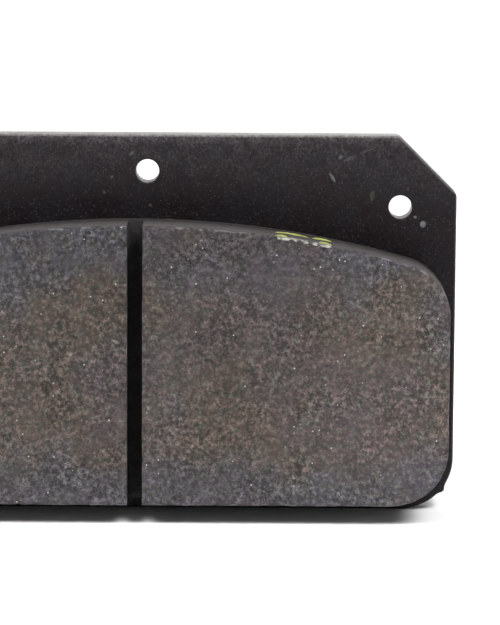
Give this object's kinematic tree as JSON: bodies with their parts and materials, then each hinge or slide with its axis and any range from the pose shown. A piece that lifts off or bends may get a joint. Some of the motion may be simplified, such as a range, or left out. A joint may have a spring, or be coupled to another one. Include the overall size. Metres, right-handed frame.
{
  "type": "disc brake pad",
  "caption": "Race-style disc brake pad: painted steel backing plate with cut top corners and retaining holes, keyed underlayer and a crowned, grooved friction block.",
  "frame": {"origin": "middle of the pad's overall box at its base: half way along the plate and through the pad's thickness, level with the plate's foot", "axes": "+X along the pad, to the right when facing the friction face; +Y out of the plate's back, the piston side; +Z from the plate's foot to its straight top edge"},
  "size_m": [0.1152, 0.0176, 0.0683],
  "materials": {
    "painted_steel": "thin satin black paint on stamped steel, dusty, with a few scuffs",
    "adhesive": "cured adhesive, dark brown",
    "underlayer_compound": "coarse moulded compound, dark brown",
    "friction_compound": "ground, speckled grey-brown friction compound, matt"
  },
  "bodies": {
    "root": {"backing_plate": "painted_steel", "bond_film": "adhesive", "underlayer": "underlayer_compound", "friction_block": "friction_compound"}
  },
  "joints": []
}
